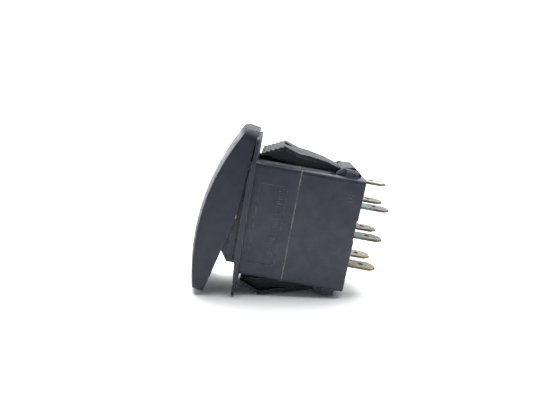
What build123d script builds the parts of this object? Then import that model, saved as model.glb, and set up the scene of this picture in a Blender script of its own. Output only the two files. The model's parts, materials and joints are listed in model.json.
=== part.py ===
"""Snap-in panel rocker switch: two poles, maintained, with a lamp.

Frame: X across the switch, Y from front to rear, Z up along the rocker's length. The rocker
faces -Y and the tabs point to +Y. The origin is the centre of the panel plane, which is the
rear face of the flange. Lengths are in millimetres and angles in degrees. The switch is drawn
with the upper end of its rocker pressed in.
"""

from build123d import *
from math import cos, radians, sin, tan
import os

# Panel cut-out side: the body fits a 21.1 x 36.8 mm opening
cutout_width = 21.1
cutout_height = 36.8
body_width = cutout_width - 0.2
body_height = cutout_height - 0.4
body_depth = 33.6
rear_edge_chamfer = 0.2
rear_groove_depth = 0.35
rear_groove_low_z = -1.0
rear_groove_high_z = 5.6
body_corner = 1.4
seam_y = 13.9
gasket_thickness = 0.3
wall = 1.5
rear_wall = 1.6
lip_length = 1.2
lip_thickness = 0.7
lip_clearance = 0.05
web_thickness = 1.4
web_front_y = 17.9
web_top_z = 10.6

# Wing channels sunk into the top and the bottom of the body
channel_half_width = 9.5
channel_depth = 2.0
channel_end_y = 24.2
channel_floor_wall = 1.3

# Flange
flange_width = 24.6
flange_height = 50.3
flange_thickness = 0.95
flange_corner = 1.6
flange_crown = 0.65
flange_crown_half_height = 13.0
flange_crown_run = 7.5

# Hub: the tower that carries the pivot pin
hub_half_width = 9.3
hub_half_height = 14.9
hub_shoulder_y = -4.15
hub_top_y = -6.9
hub_top_half_height = 10.8
hub_opening_half_width = 8.0
hub_opening_half_height = 10.0
hub_groove_width = 0.6
hub_groove_depth = 0.6
hub_groove_half_length = 13.6
hub_groove_places_y = (-4.6, -2.15)
vent_half_width = 5.0
vent_low_z = -13.6
vent_high_z = -11.4

# Label recess in each side of the front half
label_depth = 0.2
label_front_y = 2.3
label_rear_y = 10.7
label_low_z = -13.3
label_high_z = 12.0
label_corner = 0.8

# Motion
pivot_y = -4.5
rocker_tilt = 9.7
bridge_tilt = 7.0

# Rocker cap
rocker_width = 22.6
rocker_half_length = 27.0
rocker_draft = 0.2
rocker_face_radius = 75.5
rocker_cross_radius = 38.5
rocker_apex_y = -15.3
rocker_wall = 1.6
rocker_corner = 3.2
rocker_edge = 0.4
rim_vertex_y = -3.4
rim_slope = 4.4
rim_vertex_radius = 30.0

# Lens window
lens_z = 15.4
lens_width = 11.0
lens_height = 3.4
lens_corner = 0.6
lens_proud = 0.12
lens_depth = 2.6

# Posts, latch legs and stiffening ribs inside the rocker cap
post_diameter = 2.4
post_x = 5.0
post_z = 5.5
leg_half_width = 2.5
leg_thickness = 1.0
leg_gap = 0.15
hook_gap = 0.1
hook_length = 0.65
hook_reach = 0.7
rib_x = 8.6
rib_half_width = 1.3
rib_z = 20.1
rib_half_height = 0.5
rib_rear_y = -7.2

# Carrier and pivot pin
pin_diameter = 2.4
pin_clearance = 0.05
carrier_boss_diameter = 6.0
carrier_half_width = 7.6
plate_front_y = -10.4
plate_rear_y = -9.0
plate_half_width = 7.2
plate_half_height = 7.6
neck_half_width = 6.0
neck_half_height = 3.0
tube_web_half_height = 0.8
tube_web_end_y = 6.0
pole_x = 5.0
tube_diameter = 5.2
tube_bore = 3.9
tube_bottom_y = -1.0
tube_end_y = 9.0

# Plungers and springs
plunger_diameter = 3.8
plunger_rear_y = 4.0
plunger_shoulder_y = 11.0
plunger_tip_radius = 1.2
plunger_tip_centre_y = 13.5
spring_diameter = 3.4
spring_wire = 0.45
spring_turns = 5

# See-saw bridges and contacts
fulcrum_y = 16.17
bridge_width = 5.0
bridge_half_length = 8.9
bridge_thickness = 0.8
bridge_slope = 9.0
bridge_valley_y = -1.25
contact_z = 7.6
contact_diameter = 2.8
contact_height = 0.7
contact_gap = 0.1
contact_edge = 0.25

# Tabs and terminals
tab_width = 6.3
tab_thickness = 0.8
tab_tip_y = 42.8
lamp_tab_tip_y = 41.4
tab_tip_chamfer = 2.0
tab_edge_chamfer = 0.22
tab_hole_diameter = 1.7
tab_hole_y = 38.1
tab_column_x = 5.72
tab_row_pitch = 9.6
lamp_tab_z = 16.6
lamp_tongue_y = 27.2
lamp_tongue_half_width = 2.2
lamp_tongue_reach = 0.6

# Lamp parts
lamp_z = 12.4
lamp_diameter = 3.0
lamp_bore = 3.1
lamp_rim_diameter = 3.8
lamp_rim_thickness = 1.0
lamp_seat_half = 2.1
lamp_front_y = -6.2
lamp_base_y = -0.9
lamp_pin_offset = 1.27
lead_diameter = 0.56
lead_joint_y = 4.0
resistor_diameter = 2.3
resistor_start_y = 16.5
resistor_length = 6.3
resistor_cap_length = 1.6
resistor_waist_diameter = 1.9
return_wire_y = 22.0
return_wire_inset = 1.6

# Snap wings
wing_hinge_y = 25.2
wing_hinge_z = 19.3
wing_barrel_radius = 0.72
wing_socket_clearance = 0.12
wing_front_half_width = 9.25
wing_rear_half_width = 6.2
wing_peak_y = 7.6
wing_peak_z = 24.0
wing_front_y = 0.95
wing_front_z = 20.9
wing_back_points = ((12.5, 22.4), (15.5, 22.25), (21.0, 21.3))
wing_core_half_width = 7.0
wing_core_points = ((20.0, 18.6), (13.0, 18.7), (4.0, 19.9))
wing_skirt_depth = 1.0
wing_nose_z = 20.1
wing_taper_start_y = 10.5
wing_taper_end_y = 21.5
wing_notch_front_y = 7.45
wing_notch_half_width = 3.5
wing_notch_length = 3.2
wing_notch_floor_z = 22.3
wing_tooth_count = 5
wing_crest_step_y = 0.3
wing_end_y = 27.0

# Wing anchor: a pad with the wing's socket, and a latch block on each side of it
raised_foot_sink = 0.2
raised_edge_height = 1.4
socket_mouth_depth = 0.9
pad_half_width = 6.4
pad_profile = ((24.9, 19.2), (26.5, 20.5), (29.9, 20.9), (32.2, 19.1))
latch_inner_x = 7.1
latch_outer_x = 9.6
latch_profile = ((27.2, 20.5), (30.9, 20.1))
latch_chamfer = 0.7
ramp_outer_x = 8.9
ramp_profile = ((24.3, 18.8), (26.3, 20.6), (27.4, 20.4))
ramp_chamfer = 0.45

half_width = body_width / 2
half_height = body_height / 2
cavity_half_width = half_width - wall
cavity_half_height = half_height - channel_depth - channel_floor_wall


def block(x_low, x_high, y_low, y_high, z_low, z_high):
    """A box given by its limits."""
    centre = Pos((x_low + x_high) / 2, (y_low + y_high) / 2, (z_low + z_high) / 2)
    return centre * Box(x_high - x_low, y_high - y_low, z_high - z_low)


def side_prism(points, x_low, x_high):
    """An outline of (y, z) points, pulled along X."""
    outline = Polyline([(x_low, y, z) for y, z in points], close=True)
    return extrude(make_face(outline), amount=x_high - x_low, dir=(1, 0, 0))


def round_prism(width, height, corner, y_low, y_high):
    """A rounded rectangle in the XZ plane, pulled from y_low to y_high."""
    plane = Plane(origin=(0, y_low, 0), x_dir=(1, 0, 0), z_dir=(0, 1, 0))
    return extrude(plane * RectangleRounded(width, height, corner), amount=y_high - y_low)


def rod_y(x, z, diameter, y_low, y_high):
    """A round bar along Y."""
    middle = Pos(x, (y_low + y_high) / 2, z)
    return middle * Rot(X=90) * Cylinder(diameter / 2, y_high - y_low)


def rod_x(y, z, diameter, x_low, x_high):
    """A round bar along X."""
    middle = Pos((x_low + x_high) / 2, y, z)
    return middle * Rot(Y=90) * Cylinder(diameter / 2, x_high - x_low)


def turn_about_x(shape, angle, y, z):
    """Turn a shape about the line along X through (y, z)."""
    return Pos(0, y, z) * Rot(X=angle) * Pos(0, -y, -z) * shape


def flip_z(shape):
    """The lower copy of an upper piece."""
    return mirror(shape, about=Plane.XY)


def flip_x(shape):
    """The far copy of a near piece."""
    return mirror(shape, about=Plane.YZ)


def rocker_to_rest(shape):
    """Move a piece of the rocker from the middle position to the drawn one."""
    return turn_about_x(shape, -rocker_tilt, pivot_y, 0)


def body_shell_outside(y_low, y_high):
    """The body's outer form with its two wing channels, between two Y planes."""
    outside = round_prism(body_width, body_height, body_corner, y_low, y_high)
    channel_y = min(y_high, channel_end_y)
    for side in (-1, 1):
        floor = side * (half_height - channel_depth)
        sky = side * (half_height + 1)
        low, high = min(floor, sky), max(floor, sky)
        outside -= block(-channel_half_width, channel_half_width, y_low, channel_y, low, high)
    return outside


def cavity(y_low, y_high, gap=0.0):
    """The space inside the body walls."""
    x = cavity_half_width - gap
    z = cavity_half_height - gap
    return block(-x, x, y_low, y_high, -z, z)


def make_bracket():
    """Flange, hub and front half of the body in one moulding."""
    rim = flange_thickness
    flange = round_prism(flange_width, flange_height, flange_corner, -rim, 0)
    crown = flange_crown_half_height
    crown_points = [
        (-rim, -crown - flange_crown_run),
        (-rim - flange_crown, -crown),
        (-rim - flange_crown, crown),
        (-rim, crown + flange_crown_run),
    ]
    crown_plate = side_prism(crown_points, -flange_width / 2, flange_width / 2)
    hub_points = [
        (-rim, -hub_half_height),
        (hub_shoulder_y, -hub_half_height),
        (hub_top_y, -hub_top_half_height),
        (hub_top_y, hub_top_half_height),
        (hub_shoulder_y, hub_half_height),
        (-rim, hub_half_height),
    ]
    hub = side_prism(hub_points, -hub_half_width, hub_half_width)
    shell = body_shell_outside(0, seam_y - gasket_thickness / 2)
    shell -= cavity(0, seam_y)
    bracket = flange + crown_plate + hub + shell
    opening_x = hub_opening_half_width
    opening_z = hub_opening_half_height
    bracket -= block(-opening_x, opening_x, hub_top_y - 1, 0.5, -opening_z, opening_z)
    bracket -= rod_x(pivot_y, 0, pin_diameter, -hub_half_width - 1, hub_half_width + 1)
    bracket -= rod_y(0, lamp_z, lamp_bore, hub_top_y - 1, lamp_base_y)
    seat = lamp_seat_half
    bracket -= block(-seat, seat, lamp_base_y, 0.5, lamp_z - seat, lamp_z + seat)
    vent = vent_half_width
    bracket -= block(-vent, vent, hub_shoulder_y + 0.5, 0.5, vent_low_z, vent_high_z)
    for groove_y in hub_groove_places_y:
        groove = hub_groove(groove_y)
        bracket -= groove + flip_x(groove)
    label = label_recess()
    bracket -= label + flip_x(label)
    return bracket


def hub_groove(y):
    """Groove along the hub's near side wall, at depth y."""
    low = y - hub_groove_width / 2
    high = y + hub_groove_width / 2
    reach = hub_groove_half_length
    return block(hub_half_width - hub_groove_depth, hub_half_width, low, high, -reach, reach)


def label_recess():
    """Shallow rounded recess for a label, in the near side of the body."""
    face = half_width
    recess = block(face - label_depth, face, label_front_y, label_rear_y, label_low_z, label_high_z)
    return fillet(recess.edges().filter_by(Axis.X), label_corner)


def make_base_housing():
    """Rear half of the body, with the tab slots, wing sockets and latch blocks."""
    front = seam_y + gasket_thickness / 2
    inner_rear = body_depth - rear_wall
    base = body_shell_outside(front, body_depth)
    rear_edges = base.faces().sort_by(Axis.Y)[-1].edges()
    base = chamfer(rear_edges, rear_edge_chamfer)
    base -= cavity(front, inner_rear)
    lip = cavity(front - lip_length, front, lip_clearance) + cavity(front, front + lip_length)
    base += lip - cavity(front - lip_length, front + lip_length, lip_clearance + lip_thickness)
    web_half = web_thickness / 2
    base += block(-web_half, web_half, web_front_y, inner_rear, -cavity_half_height, web_top_z)
    base += wing_anchor(1) + wing_anchor(-1)
    for x in (-tab_column_x, tab_column_x):
        for row in (-1, 0, 1):
            base -= tab_blank(x, row * tab_row_pitch, inner_rear - 1, body_depth + 1)
    tongue_rear = lamp_tongue_y + tab_thickness
    base -= tab_blank(0, lamp_tab_z, tongue_rear, body_depth + 1)
    pocket_x = tab_width / 2
    pocket_front = lamp_tongue_y - tab_thickness
    pocket_top = lamp_tab_z + tab_thickness / 2
    pocket_low = cavity_half_height - 0.5
    base -= block(-pocket_x, pocket_x, pocket_front, tongue_rear, pocket_low, pocket_top)
    groove_front = body_depth - rear_groove_depth
    base -= block(-half_width, half_width, groove_front, body_depth, rear_groove_low_z, rear_groove_high_z)
    return base


def raised_prism(profile, x_low, x_high):
    """A block on top of the body: its upper line is a profile of (y, z) points."""
    foot = half_height - raised_foot_sink
    outline = [(profile[0][0], foot), *profile, (profile[-1][0], foot)]
    return side_prism(outline, x_low, x_high)


def outer_top_edges(shape, outer_x):
    """The edges along the outer side of a raised block's upper line."""
    edges = [edge for edge in shape.edges() if edge.center().X > outer_x - 0.01]
    return [edge for edge in edges if edge.center().Z > half_height + raised_edge_height]


def wing_anchor(side):
    """Pad and two latch blocks behind a wing, on the top or the bottom of the body."""
    reach = pad_half_width
    pad = raised_prism(pad_profile, -reach, reach)
    socket = 2 * (wing_barrel_radius + wing_socket_clearance)
    pad -= rod_x(wing_hinge_y, wing_hinge_z, socket, -reach, reach)
    mouth_front = pad_profile[0][0] - 1
    mouth_low = wing_hinge_z - socket_mouth_depth
    pad -= block(-reach, reach, mouth_front, wing_hinge_y, mouth_low, wing_hinge_z + 3)
    latch = raised_prism(latch_profile, latch_inner_x, latch_outer_x)
    latch = chamfer(outer_top_edges(latch, latch_outer_x), latch_chamfer)
    ramp = raised_prism(ramp_profile, latch_inner_x, ramp_outer_x)
    latch += chamfer(outer_top_edges(ramp, ramp_outer_x)[:1], ramp_chamfer)
    anchor = pad + latch + flip_x(latch)
    return anchor if side > 0 else flip_z(anchor)


def make_housing_gasket():
    """Thin gasket in the seam between bracket and base."""
    front = seam_y - gasket_thickness / 2
    ring = body_shell_outside(front, front + gasket_thickness)
    return ring - cavity(front, front + gasket_thickness)


def crown_drop(radius, offset):
    """How far a circle of this radius falls back at a sideways offset from its apex."""
    return radius - (radius**2 - offset**2) ** 0.5


def crowned_solid(inset):
    """A round solid whose skin lies inset behind the rocker's doubly crowned face."""
    front_y = rocker_apex_y + inset
    axis_y = rocker_apex_y + rocker_cross_radius
    reach = rocker_half_length + 3
    end_y = front_y + crown_drop(rocker_face_radius - inset, reach)
    lines = [
        ThreePointArc((0, end_y, -reach), (0, front_y, 0), (0, end_y, reach)),
        Line((0, end_y, reach), (0, axis_y, reach)),
        Line((0, axis_y, reach), (0, axis_y, -reach)),
        Line((0, axis_y, -reach), (0, end_y, -reach)),
    ]
    return revolve(make_face(Wire(lines)), axis=Axis((0, axis_y, 0), (0, 0, 1)))


def rocker_outline(half_length):
    """Side face of the rocker's blank: drafted ends and a shallow rounded V behind."""
    slope = radians(rim_slope)
    front_y = rocker_apex_y - 1
    front_z = half_length - rocker_draft
    rim_y = rim_vertex_y - half_length * tan(slope)
    arc_z = rim_vertex_radius * sin(slope)
    arc_y = rim_vertex_y - arc_z * tan(slope)
    arc_middle_y = rim_vertex_y - rim_vertex_radius * (1 / cos(slope) - 1)
    lines = [
        Line((0, front_y, -front_z), (0, front_y, front_z)),
        Line((0, front_y, front_z), (0, rim_y, half_length)),
        Line((0, rim_y, half_length), (0, arc_y, arc_z)),
        ThreePointArc((0, arc_y, arc_z), (0, arc_middle_y, 0), (0, arc_y, -arc_z)),
        Line((0, arc_y, -arc_z), (0, rim_y, -half_length)),
        Line((0, rim_y, -half_length), (0, front_y, -front_z)),
    ]
    return make_face(Wire(lines))


def rocker_blank(inset):
    """The rocker's solid form, shrunk by inset on every side but the open rear."""
    half_length = rocker_half_length - inset
    width = rocker_width - 2 * inset
    blank = extrude(rocker_outline(half_length), amount=width / 2, both=True)
    blank &= round_prism(width, 2 * half_length, rocker_corner - inset, -20, 0)
    return blank & crowned_solid(inset)


def cap_floor_y(x, z):
    """Depth of the cap's inner face at a point."""
    across = crown_drop(rocker_cross_radius - rocker_wall, x)
    along = crown_drop(rocker_face_radius - rocker_wall, z)
    return rocker_apex_y + rocker_wall + across + along


def make_rocker_cap():
    """Crowned rocker shell with its lens window, posts and latch legs."""
    outside = rocker_blank(0)
    front_face = outside.faces().sort_by(Axis.Y)[0]
    outside = fillet(front_face.edges(), rocker_edge)
    inner = rocker_blank(rocker_wall)
    inner += Pos(0, 0.4, 0) * inner
    cap = outside - inner
    cap -= lens_window()
    for x in (-post_x, post_x):
        for z in (-post_z, post_z):
            cap += rod_y(x, z, post_diameter, cap_floor_y(x, z) - 0.5, plate_front_y)
    for side in (-1, 1):
        cap += cap_leg(side)
    for x in (-rib_x, rib_x):
        rib = cap_rib(x)
        cap += rib + flip_z(rib)
    return rocker_to_rest(cap)


def cap_leg(side):
    """Hooked leg that grips one edge of the carrier's plate."""
    inside_z = plate_half_height + leg_gap
    outside_z = inside_z + leg_thickness
    leg_front = cap_floor_y(0, outside_z) - 0.3
    hook_y = plate_rear_y + hook_gap
    hook_end_y = hook_y + hook_length
    points = [
        (leg_front, inside_z),
        (leg_front, outside_z),
        (hook_end_y, outside_z),
        (hook_end_y, inside_z - 0.1),
        (hook_y, inside_z - hook_reach),
        (hook_y, inside_z),
    ]
    return side_prism([(y, side * z) for y, z in points], -leg_half_width, leg_half_width)


def cap_rib(x):
    """Short stiffening rib inside the upper end of the cap."""
    front = cap_floor_y(rib_x - rib_half_width, rib_z) - 0.4
    low = rib_z - rib_half_height
    high = rib_z + rib_half_height
    return block(x - rib_half_width, x + rib_half_width, front, rib_rear_y, low, high)


def lens_window():
    """The lens hole through the upper end of the rocker's face."""
    plane = Plane(origin=(0, -20, lens_z), x_dir=(1, 0, 0), z_dir=(0, 1, 0))
    return extrude(plane * RectangleRounded(lens_width, lens_height, lens_corner), amount=15)


def make_lens():
    """Bar lens in the upper end of the rocker, flush behind and slightly proud in front."""
    lens = lens_window() & crowned_solid(-lens_proud)
    return rocker_to_rest(lens - crowned_solid(lens_depth))


def make_carrier():
    """Inner rocker on the pivot pin, with a plate for the cap and two plunger tubes."""
    reach = carrier_half_width
    carrier = rod_x(pivot_y, 0, carrier_boss_diameter, -reach, reach)
    neck_x = neck_half_width
    neck_z = neck_half_height
    carrier += block(-neck_x, neck_x, plate_rear_y, pivot_y, -neck_z, neck_z)
    plate_x = plate_half_width
    plate_z = plate_half_height
    carrier += block(-plate_x, plate_x, plate_front_y, plate_rear_y, -plate_z, plate_z)
    web_z = tube_web_half_height
    carrier += block(-pole_x, pole_x, pivot_y, tube_web_end_y, -web_z, web_z)
    for x in (-pole_x, pole_x):
        carrier += rod_y(x, 0, tube_diameter, pivot_y, tube_end_y)
    for x in (-pole_x, pole_x):
        carrier -= rod_y(x, 0, tube_bore, tube_bottom_y, tube_end_y + 1)
    bore = pin_diameter + 2 * pin_clearance
    carrier -= rod_x(pivot_y, 0, bore, -reach - 1, reach + 1)
    return rocker_to_rest(carrier)


def make_pivot_pin():
    """Steel pin pressed through both hub walls."""
    return rod_x(pivot_y, 0, pin_diameter, -hub_half_width, hub_half_width)


def make_plunger(x):
    """Round-nosed plunger that slides in its tube."""
    body = rod_y(x, 0, plunger_diameter, plunger_rear_y, plunger_shoulder_y)
    neck_low = plunger_shoulder_y
    neck_high = plunger_tip_centre_y
    nose = Pos(x, (neck_low + neck_high) / 2, 0) * Rot(X=-90) * Cone(
        plunger_diameter / 2, plunger_tip_radius, neck_high - neck_low
    )
    tip = Pos(x, plunger_tip_centre_y, 0) * Sphere(plunger_tip_radius)
    return rocker_to_rest(body + nose + tip)


def make_plunger_spring(x):
    """Coil spring between the tube's floor and its plunger."""
    coil_radius = (spring_diameter - spring_wire) / 2
    length = plunger_rear_y - tube_bottom_y
    height = length - 2 * spring_wire
    helix = Helix(height / spring_turns, height, coil_radius)
    section = Plane(origin=helix @ 0, z_dir=helix % 0) * Circle(spring_wire / 2)
    coil = sweep(section, path=helix, is_frenet=True)
    return rocker_to_rest(Pos(x, tube_bottom_y + spring_wire, 0) * Rot(X=-90) * coil)


def to_fulcrum(shape, x):
    """Place a see-saw piece on its fulcrum, tilted as drawn."""
    return Pos(x, fulcrum_y, 0) * Rot(X=bridge_tilt) * shape


def make_contact_bridge(x):
    """Shallow V plate that rocks on the common terminal."""
    rise = tan(radians(bridge_slope))
    front_end = bridge_valley_y - bridge_half_length * rise
    end = bridge_half_length
    points = [
        (front_end, -end),
        (bridge_valley_y, 0),
        (front_end, end),
        (front_end + bridge_thickness, end),
        (bridge_valley_y + bridge_thickness, 0),
        (front_end + bridge_thickness, -end),
    ]
    return to_fulcrum(side_prism(points, -bridge_width / 2, bridge_width / 2), x)


def make_moving_contact(x, side):
    """Contact button under one arm of a bridge."""
    rise = tan(radians(bridge_slope))
    arm_y = bridge_valley_y + bridge_thickness - contact_z * rise
    button = Pos(0, contact_height / 2, 0) * Rot(X=90) * Cylinder(contact_diameter / 2, contact_height)
    button = fillet(button.edges().sort_by(Axis.Y)[-1], contact_edge)
    placed = Pos(0, arm_y, contact_z) * Rot(X=bridge_slope) * button
    return to_fulcrum(placed if side > 0 else flip_z(placed), x)


def closed_contact_y():
    """Depth that a moving contact's face reaches when its arm is down."""
    rise = tan(radians(bridge_slope))
    face_y = bridge_valley_y + bridge_thickness - contact_z * rise + contact_height
    tilt = radians(bridge_tilt)
    edge_z = contact_z + contact_diameter / 2
    return fulcrum_y + face_y * cos(tilt) + edge_z * sin(tilt)


fixed_face_y = closed_contact_y() + contact_gap
pad_front_y = fixed_face_y + contact_height


def make_fixed_contact(x, side):
    """Contact button on an outer terminal."""
    button = rod_y(x, side * contact_z, contact_diameter, fixed_face_y, pad_front_y)
    return fillet(button.edges().sort_by(Axis.Y)[0], contact_edge)


def tab_blank(x, z, y_low, y_high):
    """A plain length of terminal strip."""
    half = tab_width / 2
    return block(x - half, x + half, y_low, y_high, z - tab_thickness / 2, z + tab_thickness / 2)


def tab_blade(x, z, y_low, tip_y):
    """Terminal strip with a chamfered, holed tab at its end."""
    blade = tab_blank(x, z, y_low, tip_y)
    corners = blade.edges().filter_by(Axis.Z).sort_by(Axis.Y)[-2:]
    blade = chamfer(corners, tab_tip_chamfer)
    tip = blade.faces().sort_by(Axis.Y)[-1]
    blade = chamfer(tip.edges().filter_by(Axis.X), tab_edge_chamfer)
    hole_y = tab_hole_y + tip_y - tab_tip_y
    return blade - Pos(x, hole_y, z) * Cylinder(tab_hole_diameter / 2, 4)


def make_outer_terminal(x, side):
    """Upper or lower terminal: a tab, a long strip and a bent pad for its contact."""
    z = side * tab_row_pitch
    strip = tab_blade(x, z, pad_front_y, tab_tip_y)
    pad_low = contact_z - contact_diameter / 2
    pad_high = tab_row_pitch + tab_thickness / 2
    half = tab_width / 2
    pad = block(x - half, x + half, pad_front_y, pad_front_y + tab_thickness, pad_low, pad_high)
    return strip + (pad if side > 0 else flip_z(pad))


def make_common_terminal(x):
    """Middle terminal, with the round ridge that the bridge rocks on."""
    strip = tab_blade(x, 0, fulcrum_y, tab_tip_y)
    half = tab_width / 2
    return strip + rod_x(fulcrum_y, 0, tab_thickness, x - half, x + half)


def make_lamp_terminal():
    """Lamp tab, bent down inside to meet the resistor's lead."""
    strip = tab_blade(0, lamp_tab_z, lamp_tongue_y, lamp_tab_tip_y)
    low = lamp_z + lamp_pin_offset - lamp_tongue_reach
    high = lamp_tab_z + tab_thickness / 2
    half = lamp_tongue_half_width
    tongue_rear = lamp_tongue_y + tab_thickness
    return strip + block(-half, half, lamp_tongue_y, tongue_rear, low, high)


def make_lamp():
    """Lamp with a domed front, a rim and two pins."""
    dome_centre = lamp_front_y + lamp_diameter / 2
    lamp = rod_y(0, lamp_z, lamp_diameter, dome_centre, lamp_base_y)
    lamp += Pos(0, dome_centre, lamp_z) * Sphere(lamp_diameter / 2)
    lamp += rod_y(0, lamp_z, lamp_rim_diameter, lamp_base_y, lamp_base_y + lamp_rim_thickness)
    for offset in (-lamp_pin_offset, lamp_pin_offset):
        lamp += rod_y(0, lamp_z + offset, lead_diameter, lamp_base_y, lead_joint_y)
    return lamp


def make_lamp_resistor():
    """Resistor and its leads, in line between the lamp and the lamp terminal."""
    z = lamp_z + lamp_pin_offset
    end = resistor_start_y + resistor_length
    cap_length = resistor_cap_length
    resistor = rod_y(0, z, lead_diameter, lead_joint_y, lamp_tongue_y)
    resistor += rod_y(0, z, resistor_waist_diameter, resistor_start_y, end)
    for start in (resistor_start_y, end - cap_length):
        resistor += rod_y(0, z, resistor_diameter, start, start + cap_length)
    return resistor


def make_lamp_return_wire():
    """Wire from the lamp's other pin to the near upper terminal."""
    z = lamp_z - lamp_pin_offset
    bend_y = return_wire_y
    top = tab_row_pitch + tab_thickness / 2
    radius = lead_diameter / 2
    wire = rod_y(0, z, lead_diameter, lead_joint_y, bend_y)
    wire += Pos(0, bend_y, z) * Sphere(radius)
    reach = tab_column_x - return_wire_inset
    wire += rod_x(bend_y, z, lead_diameter, 0, reach)
    wire += Pos(reach, bend_y, z) * Sphere(radius)
    wire += Pos(reach, bend_y, (z + top) / 2) * Cylinder(radius, z - top)
    return wire


def wing_crest():
    """Upper line of the wing, from its toothed front to its hinge barrel."""
    tooth_pitch = (wing_peak_y - wing_crest_step_y - wing_front_y) / wing_tooth_count
    tooth_rise = (wing_peak_z - wing_front_z) / wing_tooth_count
    points = [(wing_front_y, wing_front_z)]
    for tooth in range(wing_tooth_count):
        start_y = wing_front_y + tooth * tooth_pitch
        step_z = wing_front_z + tooth * tooth_rise
        points.append((start_y + tooth_pitch * 0.9, step_z + tooth_rise * 0.15))
        points.append((start_y + tooth_pitch, step_z + tooth_rise))
    points.append((wing_peak_y, wing_peak_z))
    points += wing_back_points
    points.append((wing_hinge_y, wing_hinge_z + wing_barrel_radius))
    return points


def make_wing(side):
    """Toothed snap wing that tapers towards its root: a thin skirt over a deeper core."""
    front = wing_front_half_width
    rear = wing_rear_half_width
    rear_y, rear_z = wing_back_points[-1]
    middle_y, middle_z = wing_back_points[0]
    nose = (wing_front_y, wing_nose_z)
    core_floor = [(wing_hinge_y, wing_hinge_z - wing_barrel_radius), *wing_core_points, nose]
    skirt_floor = [
        (wing_hinge_y, wing_hinge_z),
        (rear_y, rear_z - wing_skirt_depth),
        (middle_y, middle_z - wing_skirt_depth),
        (wing_peak_y, wing_peak_z - wing_skirt_depth),
        nose,
    ]
    crest = wing_crest()
    wing = side_prism(crest + skirt_floor, -front, front)
    wing += side_prism(crest + core_floor, -wing_core_half_width, wing_core_half_width)
    plan = Polyline(
        [
            (-front, 0, 0),
            (front, 0, 0),
            (front, wing_taper_start_y, 0),
            (rear, wing_taper_end_y, 0),
            (rear, wing_end_y, 0),
            (-rear, wing_end_y, 0),
            (-rear, wing_taper_end_y, 0),
            (-front, wing_taper_start_y, 0),
        ],
        close=True,
    )
    wing &= extrude(make_face(plan), amount=40)
    wing += rod_x(wing_hinge_y, wing_hinge_z, 2 * wing_barrel_radius, -rear, rear)
    wing -= wing_notch()
    return wing if side > 0 else flip_z(wing)


def wing_notch():
    """Three-cornered pocket behind the wing's crest, pointed at the rear."""
    front_y = wing_notch_front_y
    floor_z = wing_notch_floor_z
    corners = [
        (-wing_notch_half_width, front_y, floor_z),
        (wing_notch_half_width, front_y, floor_z),
        (0, front_y + wing_notch_length, floor_z),
    ]
    return extrude(make_face(Polyline(corners, close=True)), amount=3, dir=(0, 0, 1))


def build_nodes():
    """Every piece by its node name."""
    nodes = {
        "bracket": make_bracket(),
        "base_housing": make_base_housing(),
        "housing_gasket": make_housing_gasket(),
        "pivot_pin": make_pivot_pin(),
        "rocker_cap": make_rocker_cap(),
        "lens": make_lens(),
        "carrier": make_carrier(),
        "lamp": make_lamp(),
        "lamp_resistor": make_lamp_resistor(),
        "lamp_return_wire": make_lamp_return_wire(),
        "lamp_terminal": make_lamp_terminal(),
        "upper_wing": make_wing(1),
        "lower_wing": make_wing(-1),
    }
    for pole, side_x in (("a", 1), ("b", -1)):
        x = side_x * pole_x
        tab_x = side_x * tab_column_x
        nodes[f"plunger_{pole}"] = make_plunger(x)
        nodes[f"plunger_spring_{pole}"] = make_plunger_spring(x)
        nodes[f"contact_bridge_{pole}"] = make_contact_bridge(x)
        nodes[f"terminal_{pole}_common"] = make_common_terminal(tab_x)
        for level, side_z in (("upper", 1), ("lower", -1)):
            nodes[f"moving_contact_{pole}_{level}"] = make_moving_contact(x, side_z)
            nodes[f"fixed_contact_{pole}_{level}"] = make_fixed_contact(x, side_z)
            nodes[f"terminal_{pole}_{level}"] = make_outer_terminal(tab_x, side_z)
    return nodes


os.makedirs("parts", exist_ok=True)
for node, shape in build_nodes().items():
    export_step(shape, f"parts/{node}.step")
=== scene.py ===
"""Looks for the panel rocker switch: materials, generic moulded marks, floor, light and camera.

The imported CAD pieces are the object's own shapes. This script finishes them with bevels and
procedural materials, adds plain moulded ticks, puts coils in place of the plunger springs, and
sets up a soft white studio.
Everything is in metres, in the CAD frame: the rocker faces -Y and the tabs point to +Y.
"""

import json
import math

import bmesh
import bpy
from mathutils import Matrix, Vector


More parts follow.
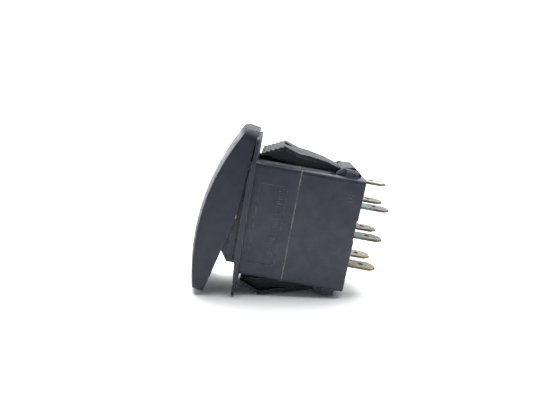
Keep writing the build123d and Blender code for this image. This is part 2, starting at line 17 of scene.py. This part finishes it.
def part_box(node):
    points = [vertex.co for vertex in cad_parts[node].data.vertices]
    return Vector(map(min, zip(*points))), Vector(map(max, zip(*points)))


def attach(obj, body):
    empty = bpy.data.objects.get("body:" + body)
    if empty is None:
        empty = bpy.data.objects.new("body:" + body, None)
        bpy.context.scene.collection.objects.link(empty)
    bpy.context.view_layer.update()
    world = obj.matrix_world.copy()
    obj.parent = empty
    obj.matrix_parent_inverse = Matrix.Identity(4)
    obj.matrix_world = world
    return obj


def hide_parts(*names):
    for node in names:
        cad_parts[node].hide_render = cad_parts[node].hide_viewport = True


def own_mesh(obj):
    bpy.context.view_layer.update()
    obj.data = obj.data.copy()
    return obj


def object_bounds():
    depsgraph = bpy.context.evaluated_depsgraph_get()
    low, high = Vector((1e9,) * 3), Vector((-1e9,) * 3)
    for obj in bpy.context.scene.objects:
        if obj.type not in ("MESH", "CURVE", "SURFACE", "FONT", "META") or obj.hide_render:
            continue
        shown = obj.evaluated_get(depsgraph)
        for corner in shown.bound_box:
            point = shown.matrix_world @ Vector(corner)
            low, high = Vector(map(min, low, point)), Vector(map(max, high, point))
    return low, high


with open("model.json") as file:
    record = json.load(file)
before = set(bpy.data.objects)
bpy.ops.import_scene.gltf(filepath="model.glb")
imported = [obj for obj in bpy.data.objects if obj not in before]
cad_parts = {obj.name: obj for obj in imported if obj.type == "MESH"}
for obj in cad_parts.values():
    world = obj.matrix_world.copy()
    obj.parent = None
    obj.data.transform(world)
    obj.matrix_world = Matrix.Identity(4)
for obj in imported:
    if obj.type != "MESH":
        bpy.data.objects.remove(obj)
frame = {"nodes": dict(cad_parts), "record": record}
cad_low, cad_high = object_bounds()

MM = 0.001
nodes = frame["nodes"]

# Camera: where it stands, and how it is turned
CAMERA_PLACE = Vector((158.32, 4.97, 40.83)) * MM
CAMERA_YAW = 1.11
CAMERA_PITCH = 13.40
CAMERA_ROLL = 10.42
CAMERA_LENS = 32.81
CAMERA_SENSOR = 36.0

# The switch lies on its flange edge and its lower latch blocks, on tilted ground
FLOOR_TILT = 8.6
FLOOR_NEAR_REACH = 0.14
FLOOR_FAR_REACH = 3.2
FLOOR_HALF_WIDTH = 4.0

# Raised marks moulded into the near side: plain bars like the ticks of a scale
LABEL_RECESS_DEPTH = 0.2
MARK_HEIGHT = 0.07
MARK_THICKNESS = 0.3
FRONT_MARKS_Y = 8.25
FRONT_MARKS_TOP_Z = 11.2
FRONT_MARK_PITCH = 0.8
FRONT_MARK_COUNT = 27
REAR_MARKS_Y = 29.3
REAR_MARKS_TOP_Z = 15.0
REAR_MARK_PITCH = 1.0
REAR_MARK_COUNT = 5
LONG_MARK = 1.3
SHORT_MARK = 0.8

# Rounded edges
BODY_EDGE = 0.09
ROCKER_EDGE = 0.10
WELD_REACH = 0.0005

# The outer ends of the body and the rocker are more matt, from these heights outwards
HOUSING_MATT_FROM = 17.9
ROCKER_MATT_FROM = 25.4
MATT_FADE = 0.8
MATT_EXTRA = 0.2

# Resistor body, and the middles and tints of its colour bands
RESISTOR_START_Y = 16.5
RESISTOR_END_Y = 22.8
RESISTOR_BAND_HALF = 0.34
RESISTOR_BAND_CORE = 0.28
RESISTOR_BANDS = (
    (17.6, (0.35, 0.12, 0.03)),
    (18.9, (0.02, 0.02, 0.02)),
    (20.1, (0.45, 0.05, 0.03)),
)

# Coil springs in the plunger tubes
SPRING_TILT = 9.7
SPRING_WIRE = 0.45
SPRING_LENGTH = 5.0
SPRING_TURNS = 5
SPRING_STEPS = 24
SPRING_SIDES = 8

# Light: a broad sky, a bright wall behind the switch, a brighter panel over its front end,
# and a dim surround
SKY_STRENGTH = 7.5
SKY_ANGLE = 70.0
SKY_LEAN_X = -0.40
SKY_LEAN_Y = 0.12
WALL_HEIGHT = 3.0
WALL_RADIANCE = 1.02
PANEL_RADIANCE = 3.5
PANEL_START_Y = -0.9
PANEL_STEP = 0.02
SURROUND_STRENGTH = 0.30


# ---------------------------------------------------------------- node helpers

class Nodes:
    """A small wrapper for building one material's node tree."""

    def __init__(self, name):
        self.material = bpy.data.materials.new(name)
        self.material.use_nodes = True
        self.tree = self.material.node_tree
        self.tree.nodes.clear()
        output = self.tree.nodes.new("ShaderNodeOutputMaterial")
        self.shader = self.tree.nodes.new("ShaderNodeBsdfPrincipled")
        self.tree.links.new(self.shader.outputs[0], output.inputs["Surface"])
        self.place = self.tree.nodes.new("ShaderNodeTexCoord").outputs["Object"]

    def add(self, kind, **settings):
        node = self.tree.nodes.new(kind)
        for key, value in settings.items():
            setattr(node, key, value)
        return node

    def plug(self, socket, value):
        if isinstance(value, bpy.types.NodeSocket):
            self.tree.links.new(value, socket)
        else:
            socket.default_value = value

    def scaled(self, scale):
        """The piece's own coordinates, stretched by a scale for each axis."""
        mapping = self.add("ShaderNodeMapping")
        self.plug(mapping.inputs["Vector"], self.place)
        mapping.inputs["Scale"].default_value = scale
        return mapping.outputs[0]

    def noise(self, scale, detail=4.0, roughness=0.55, stretch=None, distortion=0.0):
        """Fractal noise from 0 to 1; scale is in features per metre."""
        node = self.add("ShaderNodeTexNoise")
        self.plug(node.inputs["Vector"], self.scaled(stretch) if stretch else self.place)
        node.inputs["Scale"].default_value = scale
        node.inputs["Detail"].default_value = detail
        node.inputs["Roughness"].default_value = roughness
        node.inputs["Distortion"].default_value = distortion
        return node.outputs[0]

    def ramp(self, value, low, high, low_value=0.0, high_value=1.0):
        """A smooth step of value between two thresholds."""
        node = self.add("ShaderNodeMapRange", interpolation_type="SMOOTHSTEP")
        self.plug(node.inputs["Value"], value)
        node.inputs["From Min"].default_value = low
        node.inputs["From Max"].default_value = high
        node.inputs["To Min"].default_value = low_value
        node.inputs["To Max"].default_value = high_value
        return node.outputs[0]

    def math(self, operation, first, second=0.0):
        node = self.add("ShaderNodeMath", operation=operation)
        self.plug(node.inputs[0], first)
        self.plug(node.inputs[1], second)
        return node.outputs[0]

    def mix(self, factor, first, second):
        """A colour mix."""
        node = self.add("ShaderNodeMix", data_type="RGBA")
        self.plug(node.inputs["Factor"], factor)
        self.plug(node.inputs["A"], first)
        self.plug(node.inputs["B"], second)
        return node.outputs["Result"]

    def axis(self, name):
        """One coordinate of the piece, in metres."""
        node = self.add("ShaderNodeSeparateXYZ")
        self.plug(node.inputs[0], self.place)
        return node.outputs[name]

    def edges(self, radius):
        """1 along sharp edges within radius, 0 on flat ground."""
        bevel = self.add("ShaderNodeBevel", samples=6)
        bevel.inputs["Radius"].default_value = radius
        geometry = self.add("ShaderNodeNewGeometry")
        dot = self.add("ShaderNodeVectorMath", operation="DOT_PRODUCT")
        self.plug(dot.inputs[0], bevel.outputs[0])
        self.plug(dot.inputs[1], geometry.outputs["Normal"])
        return self.ramp(dot.outputs["Value"], 0.995, 0.90)

    def crevice(self, distance):
        """1 deep in corners and gaps, 0 in the open."""
        node = self.add("ShaderNodeAmbientOcclusion", samples=6)
        node.inputs["Distance"].default_value = distance
        return self.ramp(node.outputs["AO"], 0.75, 0.25)

    def bump(self, height, strength, distance):
        node = self.add("ShaderNodeBump")
        self.plug(node.inputs["Height"], height)
        node.inputs["Strength"].default_value = strength
        node.inputs["Distance"].default_value = distance
        self.plug(self.shader.inputs["Normal"], node.outputs[0])

    def finish(self, colour, roughness, metallic=0.0, specular=0.5):
        self.plug(self.shader.inputs["Base Color"], colour)
        self.plug(self.shader.inputs["Roughness"], roughness)
        self.shader.inputs["Metallic"].default_value = metallic
        self.shader.inputs["Specular IOR Level"].default_value = specular
        return self.material


def rgb(red, green, blue):
    return (red, green, blue, 1.0)


# ---------------------------------------------------------------- materials

def moulded_plastic(name, dark, light, roughness, grain,
                    dust=0.35, wear=0.35, shine=0.34, matt_from=None):
    """Dark filled nylon: mottled, finely grained, rubbed on its edges and dusty in its corners."""
    m = Nodes(name)
    mottle = m.noise(180, 5, 0.6)
    fine = m.noise(2600, 3, 0.6)
    colour = m.mix(m.ramp(mottle, 0.35, 0.68), rgb(*dark), rgb(*light))
    speck = m.ramp(m.noise(5200, 2, 0.5), 0.66, 0.74)
    grey = rgb(*(0.6 * c + 0.07 for c in light))
    colour = m.mix(m.math("MULTIPLY", speck, 0.25), colour, grey)
    scuff = m.ramp(m.noise(900, 6, 0.7, stretch=(1.0, 0.35, 1.0), distortion=0.8), 0.66, 0.78)
    colour = m.mix(m.math("MULTIPLY", scuff, 0.22), colour, rgb(0.20, 0.20, 0.21))
    worn = m.math("MULTIPLY", m.edges(0.18 * MM), m.ramp(m.noise(700, 4, 0.6), 0.35, 0.62))
    colour = m.mix(m.math("MULTIPLY", worn, wear), colour, rgb(0.34, 0.35, 0.36))
    dusty = m.math("MULTIPLY", m.crevice(0.8 * MM), m.ramp(m.noise(1100, 5, 0.65), 0.42, 0.66))
    colour = m.mix(m.math("MULTIPLY", dusty, dust), colour, rgb(0.33, 0.31, 0.27))
    rough = m.math("ADD", m.ramp(m.noise(420, 4, 0.6), 0.3, 0.7, roughness - 0.06, roughness + 0.08),
                   m.math("MULTIPLY", worn, -0.08))
    if matt_from:
        height = m.math("ABSOLUTE", m.axis("Z"))
        matt = m.ramp(height, matt_from * MM, (matt_from + MATT_FADE) * MM, 0.0, MATT_EXTRA)
        rough = m.math("ADD", rough, matt)
    m.bump(m.math("ADD", fine, m.math("MULTIPLY", mottle, 0.6)), grain, 0.02 * MM)
    return m.finish(colour, rough, specular=shine)


def rocker_material():
    return moulded_plastic(
        "rocker_plastic", (0.010, 0.0125, 0.025), (0.016, 0.019, 0.035), 0.51, 0.22,
        0.25, 0.4, 0.43, ROCKER_MATT_FROM)


def housing_material():
    return moulded_plastic(
        "housing_nylon", (0.013, 0.0165, 0.029), (0.023, 0.0275, 0.045), 0.44, 0.35,
        0.16, 0.4, 0.46, HOUSING_MATT_FROM)


def wing_material():
    return moulded_plastic(
        "wing_nylon", (0.010, 0.011, 0.015), (0.017, 0.018, 0.022), 0.58, 0.45, 0.4, 0.5, 0.26)


def gasket_material():
    """Tan strip, darker and greyer in patches, with dust in it."""
    m = Nodes("gasket")
    patch = m.noise(260, 5, 0.65, stretch=(0.4, 0.4, 1.0))
    grit = m.noise(2400, 3, 0.6)
    colour = m.mix(m.ramp(patch, 0.40, 0.60), rgb(0.050, 0.050, 0.052), rgb(0.17, 0.155, 0.12))
    colour = m.mix(m.ramp(grit, 0.54, 0.72), colour, rgb(0.32, 0.315, 0.29))
    m.bump(grit, 0.5, 0.03 * MM)
    return m.finish(colour, 0.8)


def tab_material(name, tin, bare, bare_from=0.54, green=0.0, green_share=0.8):
    """Tin-plated brass: grey tin, brown tarnish, bare yellow patches, white oxide, brown cut edges."""
    m = Nodes(name)
    broad = m.noise(330, 5, 0.62, distortion=0.6)
    second = m.noise(620, 5, 0.6, stretch=(1.0, 0.5, 1.0))
    grit = m.noise(2600, 4, 0.65)
    tarnish = rgb(*(0.5 * c for c in tin))
    colour = m.mix(m.ramp(broad, 0.38, 0.62), rgb(*tin), tarnish)
    colour = m.mix(m.ramp(second, bare_from, bare_from + 0.14), colour, rgb(*bare))
    colour = m.mix(m.ramp(grit, 0.58, 0.70), colour, rgb(0.07, 0.063, 0.052))
    normal = m.add("ShaderNodeSeparateXYZ")
    m.plug(normal.inputs[0], m.add("ShaderNodeNewGeometry").outputs["True Normal"])
    cut = m.ramp(m.math("ABSOLUTE", normal.outputs["Z"]), 0.8, 0.3)
    colour = m.mix(m.math("MULTIPLY", cut, 0.75), colour, rgb(0.085, 0.062, 0.05))
    oxide = m.ramp(m.noise(1500, 4, 0.6), 0.62, 0.72)
    colour = m.mix(m.math("MULTIPLY", oxide, 0.7), colour, rgb(0.60, 0.60, 0.56))
    metallic = m.ramp(grit, 0.45, 0.75, 0.92, 0.45)
    if green:
        depth = m.ramp(m.axis("Y"), green + 0.5 * MM, green + 5.5 * MM, green_share, 0.0)
        patch = m.math("MULTIPLY", depth, m.ramp(m.noise(1100, 5, 0.65), 0.36, 0.58))
        verdigris = m.mix(grit, rgb(0.04, 0.17, 0.15), rgb(0.19, 0.40, 0.35))
        colour = m.mix(patch, colour, verdigris)
        metallic = m.math("MULTIPLY", metallic, m.math("SUBTRACT", 1.0, patch))
    rough = m.ramp(second, 0.3, 0.7, 0.34, 0.58)
    m.bump(m.math("ADD", broad, grit), 0.45, 0.03 * MM)
    material = m.finish(colour, rough)
    m.plug(m.shader.inputs["Metallic"], metallic)
    return material


def bare_metal(name, base, tint, roughness, grain_stretch):
    """Drawn or ground metal with fine lines and faint stains."""
    m = Nodes(name)
    lines = m.noise(3800, 3, 0.6, stretch=grain_stretch)
    stain = m.noise(520, 5, 0.6)
    colour = m.mix(m.ramp(stain, 0.4, 0.68), rgb(*base), rgb(*tint))
    rough = m.ramp(lines, 0.3, 0.7, roughness - 0.08, roughness + 0.12)
    m.bump(lines, 0.3, 0.01 * MM)
    return m.finish(colour, rough, metallic=1.0)


def lens_material():
    """Milky diffuser: a little light goes in, with fine prismatic grain."""
    m = Nodes("lens")
    cloud = m.noise(300, 4, 0.6)
    colour = m.mix(m.ramp(cloud, 0.35, 0.7), rgb(0.60, 0.58, 0.52), rgb(0.70, 0.69, 0.64))
    m.bump(m.noise(1600, 2, 0.5, stretch=(1.0, 0.1, 0.1)), 0.25, 0.02 * MM)
    m.shader.inputs["Subsurface Weight"].default_value = 0.35
    m.shader.inputs["Subsurface Radius"].default_value = (1.0, 0.9, 0.8)
    m.shader.inputs["Subsurface Scale"].default_value = 0.9 * MM
    m.shader.inputs["Coat Weight"].default_value = 0.25
    return m.finish(colour, m.ramp(cloud, 0.3, 0.7, 0.22, 0.34))


def lamp_material():
    m = Nodes("lamp_glass")
    cloud = m.noise(700, 3, 0.5)
    colour = m.mix(cloud, rgb(0.78, 0.74, 0.62), rgb(0.86, 0.84, 0.76))
    m.shader.inputs["Subsurface Weight"].default_value = 0.3
    m.shader.inputs["Subsurface Scale"].default_value = 0.6 * MM
    return m.finish(colour, m.ramp(cloud, 0.3, 0.7, 0.10, 0.18))


def resistor_material():
    """Beige lacquer with colour bands, between tinned leads."""
    m = Nodes("resistor_body")
    y = m.axis("Y")
    start, end = RESISTOR_START_Y * MM, RESISTOR_END_Y * MM
    inside = m.math("MULTIPLY", m.ramp(y, start - 0.05 * MM, start), m.ramp(y, end + 0.05 * MM, end))
    lacquer = m.mix(m.noise(900), rgb(0.52, 0.40, 0.24), rgb(0.60, 0.48, 0.30))
    for band_y, tint in RESISTOR_BANDS:
        offset = m.math("ABSOLUTE", m.math("SUBTRACT", y, band_y * MM))
        band = m.ramp(offset, RESISTOR_BAND_HALF * MM, RESISTOR_BAND_CORE * MM)
        lacquer = m.mix(band, lacquer, rgb(*tint))
    colour = m.mix(inside, rgb(0.62, 0.61, 0.58), lacquer)
    material = m.finish(colour, m.ramp(m.noise(800), 0.3, 0.7, 0.28, 0.4))
    m.plug(m.shader.inputs["Metallic"], m.math("SUBTRACT", 1.0, inside))
    return material


def floor_material():
    """Plain pale paper, faintly mottled."""
    m = Nodes("floor_paper")
    colour = m.mix(m.noise(40, 3), rgb(0.90, 0.90, 0.90), rgb(0.93, 0.93, 0.93))
    return m.finish(colour, m.ramp(m.noise(300, 3), 0.3, 0.7, 0.7, 0.85), specular=0.2)


def glow_material(name, radiance):
    """A white sheet lit from within, softly uneven."""
    m = Nodes(name)
    colour = m.mix(m.noise(2, 2), rgb(0.95, 0.97, 1.0), rgb(1.0, 1.0, 1.0))
    m.plug(m.shader.inputs["Emission Color"], colour)
    m.shader.inputs["Emission Strength"].default_value = radiance
    return m.finish(colour, m.ramp(m.noise(3), 0.3, 0.7, 0.8, 0.9), specular=0.1)


# ---------------------------------------------------------------- CAD pieces

def soften(obj, width, angle=35.0, segments=2):
    """Small rounded edges on a CAD piece, as modifiers."""
    weld = obj.modifiers.new("weld", "WELD")
    weld.merge_threshold = WELD_REACH * MM
    bevel = obj.modifiers.new("edge_round", "BEVEL")
    bevel.width = width
    bevel.segments = segments
    bevel.limit_method = "ANGLE"
    bevel.angle_limit = math.radians(angle)
    bevel.use_clamp_overlap = True
    bevel.harden_normals = False


def paint(obj, material):
    obj.data.materials.clear()
    obj.data.materials.append(material)


def place_form(name, form, material):
    """Turn a finished bmesh into a painted object in the scene."""
    mesh = bpy.data.meshes.new(name)
    form.to_mesh(mesh)
    form.free()
    obj = bpy.data.objects.new(name, mesh)
    bpy.context.scene.collection.objects.link(obj)
    paint(obj, material)
    return obj


def paint_cad_pieces():
    """One material for each node, from its slot in the record."""
    tab_root_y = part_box("base_housing")[1].y
    slot_materials = {
        "housing_nylon": housing_material(),
        "wing_nylon": wing_material(),
        "rocker_plastic": rocker_material(),
        "carrier_plastic": moulded_plastic(
            "carrier_plastic", (0.03, 0.03, 0.034), (0.045, 0.045, 0.05), 0.42, 0.25),
        "gasket": gasket_material(),
        "tab_brass": tab_material("tab_brass", (0.145, 0.143, 0.122), (0.17, 0.157, 0.10)),
        "lens": lens_material(),
        "lamp_glass": lamp_material(),
        "resistor_body": resistor_material(),
        "steel": bare_metal("steel", (0.56, 0.56, 0.57), (0.40, 0.38, 0.35), 0.28, (0.2, 1.0, 1.0)),
        "spring_steel": bare_metal(
            "spring_steel", (0.52, 0.52, 0.52), (0.38, 0.37, 0.34), 0.32, (1.0, 1.0, 1.0)),
        "tinned_wire": bare_metal(
            "tinned_wire", (0.66, 0.66, 0.64), (0.50, 0.49, 0.46), 0.34, (1.0, 0.2, 1.0)),
        "bridge_copper": bare_metal(
            "bridge_copper", (0.62, 0.34, 0.22), (0.42, 0.24, 0.16), 0.34, (1.0, 1.0, 0.2)),
        "contact_silver": bare_metal(
            "contact_silver", (0.80, 0.79, 0.76), (0.52, 0.50, 0.47), 0.30, (1.0, 1.0, 1.0)),
        "plunger_plastic": moulded_plastic(
            "plunger_plastic", (0.66, 0.64, 0.58), (0.74, 0.72, 0.66), 0.40, 0.2, 0.2, 0.1),
    }
    for part in frame["record"]["subparts"]:
        paint(nodes[part["node"]], slot_materials[part["material_slot"]])
    make_side_marks(slot_materials["housing_nylon"])
    for pole in "ab":
        make_spring("plunger_spring_" + pole, slot_materials["spring_steel"])
    yellow = tab_material("tab_brass_yellow", (0.19, 0.174, 0.118), (0.25, 0.225, 0.13), bare_from=0.46)
    for name in ("terminal_a_lower", "terminal_b_lower"):
        paint(nodes[name], yellow)
    tin, bare = (0.165, 0.168, 0.155), (0.19, 0.18, 0.13)
    paint(nodes["terminal_a_upper"], tab_material("tab_brass_green", tin, bare, green=tab_root_y))
    dull = (0.135, 0.128, 0.122)
    paint(nodes["terminal_a_common"], tab_material(
        "tab_brass_dull", dull, (0.17, 0.145, 0.13), green=tab_root_y, green_share=0.4))
    paint(nodes["lamp_terminal"], tab_material("tab_brass_bright", (0.40, 0.385, 0.35), (0.40, 0.36, 0.26)))


def round_cad_edges():
    for name in ("bracket", "base_housing", "upper_wing", "lower_wing"):
        soften(nodes[name], BODY_EDGE * MM)
    soften(nodes["rocker_cap"], ROCKER_EDGE * MM)


# ---------------------------------------------------------------- plunger springs

def make_spring(node, material):
    """A coil that takes a CAD spring's place, attached to the rocker."""
    low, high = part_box(node)
    tilt = math.radians(SPRING_TILT)
    axis = Vector((0.0, math.cos(tilt), -math.sin(tilt)))
    rise = Vector((0.0, math.sin(tilt), math.cos(tilt)))
    across = Vector((1.0, 0.0, 0.0))
    wire = SPRING_WIRE * MM / 2
    radius = (high.x - low.x) / 2 - wire
    middle = (low + high) / 2
    length = SPRING_LENGTH * MM - 2 * wire
    form = bmesh.new()
    rings = []
    steps = SPRING_TURNS * SPRING_STEPS
    for step in range(steps + 1):
        turn = 2 * math.pi * step / SPRING_STEPS
        out = across * math.cos(turn) + rise * math.sin(turn)
        centre = middle + axis * (length * (step / steps - 0.5)) + out * radius
        ring = []
        for corner in range(SPRING_SIDES):
            around = 2 * math.pi * corner / SPRING_SIDES
            ring.append(form.verts.new(centre + (out * math.cos(around) + axis * math.sin(around)) * wire))
        rings.append(ring)
    for first, second in zip(rings, rings[1:]):
        for i in range(SPRING_SIDES):
            j = (i + 1) % SPRING_SIDES
            form.faces.new((first[i], first[j], second[j], second[i])).smooth = True
    form.faces.new(rings[0])
    form.faces.new(rings[-1])
    bmesh.ops.recalc_face_normals(form, faces=form.faces)
    coil = place_form(node + "_coil", form, material)
    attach(coil, "rocker")
    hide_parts(node)
    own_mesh(coil)


# ---------------------------------------------------------------- raised marks

def bar_corners(x, y, z, height, length, thickness):
    """A small bar on the side wall: proud along X, long along Y, thin along Z, with a drawn-in top."""
    base = [(x, y, z), (x, y + length, z), (x, y + length, z + thickness), (x, y, z + thickness)]
    inset = 0.35 * height
    top_x = x + height
    top = [
        (top_x, y + inset, z + inset),
        (top_x, y + length - inset, z + inset),
        (top_x, y + length - inset, z + thickness - inset),
        (top_x, y + inset, z + thickness - inset),
    ]
    return base, top


def add_bar(form, base, top):
    low = [form.verts.new(corner) for corner in base]
    high = [form.verts.new(corner) for corner in top]
    form.faces.new(high)
    form.faces.new(low[::-1])
    for i in range(4):
        j = (i + 1) % 4
        form.faces.new((low[i], low[j], high[j], high[i]))


def make_side_marks(material):
    """A column of ticks in the label recess and a short one near the rear."""
    form = bmesh.new()
    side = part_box("base_housing")[1].x
    recess = side - LABEL_RECESS_DEPTH * MM
    columns = (
        (recess, FRONT_MARKS_Y, FRONT_MARKS_TOP_Z, FRONT_MARK_PITCH, FRONT_MARK_COUNT),
        (side, REAR_MARKS_Y, REAR_MARKS_TOP_Z, REAR_MARK_PITCH, REAR_MARK_COUNT),
    )
    sunk = 0.01 * MM
    for ground, y, top_z, pitch, count in columns:
        for tick in range(count):
            length = SHORT_MARK if tick % 2 else LONG_MARK
            corner = (ground - sunk, y * MM, (top_z - tick * pitch) * MM)
            add_bar(form, *bar_corners(*corner, MARK_HEIGHT * MM + sunk, length * MM, MARK_THICKNESS * MM))
    form.normal_update()
    marks = place_form("side_marks", form, material)
    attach(marks, "switch_body")


# ---------------------------------------------------------------- floor, light, camera

def floor_frame():
    """The floor's normal, and its height along it: it touches the lowest points of the switch."""
    tilt = math.radians(FLOOR_TILT)
    normal = Vector((0.0, -math.sin(tilt), math.cos(tilt)))
    height = min(normal.dot(v.co) for obj in nodes.values() for v in obj.data.vertices)
    return normal, height


def make_sheet(name, corners, facing, material):
    """A flat four-cornered piece of the set, which isn't part of the object."""
    form = bmesh.new()
    face = form.faces.new([form.verts.new(corner) for corner in corners])
    form.normal_update()
    if face.normal.dot(facing) < 0:
        face.normal_flip()
    sheet = place_form(name, form, material)


def make_set(normal, height):
    """White paper, a bright wall where it ends far behind the switch, and the brighter panel."""
    tilt = math.radians(FLOOR_TILT)
    across = Vector((0.0, math.cos(tilt), math.sin(tilt))) * FLOOR_HALF_WIDTH
    near = normal * height + Vector((FLOOR_NEAR_REACH, 0.0, 0.0))
    far = normal * height - Vector((FLOOR_FAR_REACH, 0.0, 0.0))
    make_sheet("floor", [near - across, near + across, far + across, far - across], normal, floor_material())
    top = far + normal * WALL_HEIGHT
    wall = [far - across, far + across, top + across, top - across]
    make_sheet("wall", wall, Vector((1.0, 0.0, 0.0)), glow_material("wall_glow", WALL_RADIANCE))
    step = Vector((PANEL_STEP, 0.0, 0.0))
    start = Vector((0.0, math.cos(tilt), math.sin(tilt))) * PANEL_START_Y
    panel = [far - across + step, far + start + step, top + start + step, top - across + step]
    make_sheet("panel", panel, Vector((1.0, 0.0, 0.0)), glow_material("panel_glow", PANEL_RADIANCE))


def add_light(name, kind, place, target, **settings):
    """A light at a place, turned towards a target."""
    data = bpy.data.lights.new(name, kind)
    for key, value in settings.items():
        setattr(data, key, value)
    light = bpy.data.objects.new(name, data)
    light.location = place
    light.rotation_mode = "QUATERNION"
    light.rotation_quaternion = (target - place).to_track_quat("-Z", "Y")
    bpy.context.scene.collection.objects.link(light)


def make_light(normal):
    """A broad sky from above and behind, and a dim surround."""
    centre = (cad_low + cad_high) / 2
    sky = normal * 1.0 + Vector((SKY_LEAN_X, SKY_LEAN_Y, 0.0))
    add_light("sky", "SUN", centre + sky, centre, energy=SKY_STRENGTH, angle=math.radians(SKY_ANGLE))
    world = bpy.data.worlds.new("surround")
    world.use_nodes = True
    background = world.node_tree.nodes["Background"]
    background.inputs["Color"].default_value = (0.86, 0.91, 1.0, 1.0)
    background.inputs["Strength"].default_value = SURROUND_STRENGTH
    bpy.context.scene.world = world


def make_camera():
    yaw, pitch, roll = (math.radians(a) for a in (CAMERA_YAW, CAMERA_PITCH, CAMERA_ROLL))
    back = Vector((math.cos(pitch) * math.cos(yaw), -math.cos(pitch) * math.sin(yaw), math.sin(pitch)))
    level = Vector((math.sin(yaw), math.cos(yaw), 0.0))
    rise = back.cross(level)
    right = level * math.cos(roll) + rise * math.sin(roll)
    up = back.cross(right)
    data = bpy.data.cameras.new("camera")
    data.sensor_width = CAMERA_SENSOR
    data.lens = CAMERA_LENS
    data.clip_start = 0.01
    data.clip_end = 20.0
    camera = bpy.data.objects.new("camera", data)
    camera.matrix_world = Matrix.Translation(CAMERA_PLACE) @ Matrix((right, up, back)).transposed().to_4x4()
    bpy.context.scene.collection.objects.link(camera)
    bpy.context.scene.camera = camera


def main():
    paint_cad_pieces()
    round_cad_edges()
    normal, height = floor_frame()
    make_set(normal, height)
    make_light(normal)
    make_camera()
    bpy.context.scene.view_settings.view_transform = "Standard"
    bpy.context.scene.view_settings.look = "None"


main()
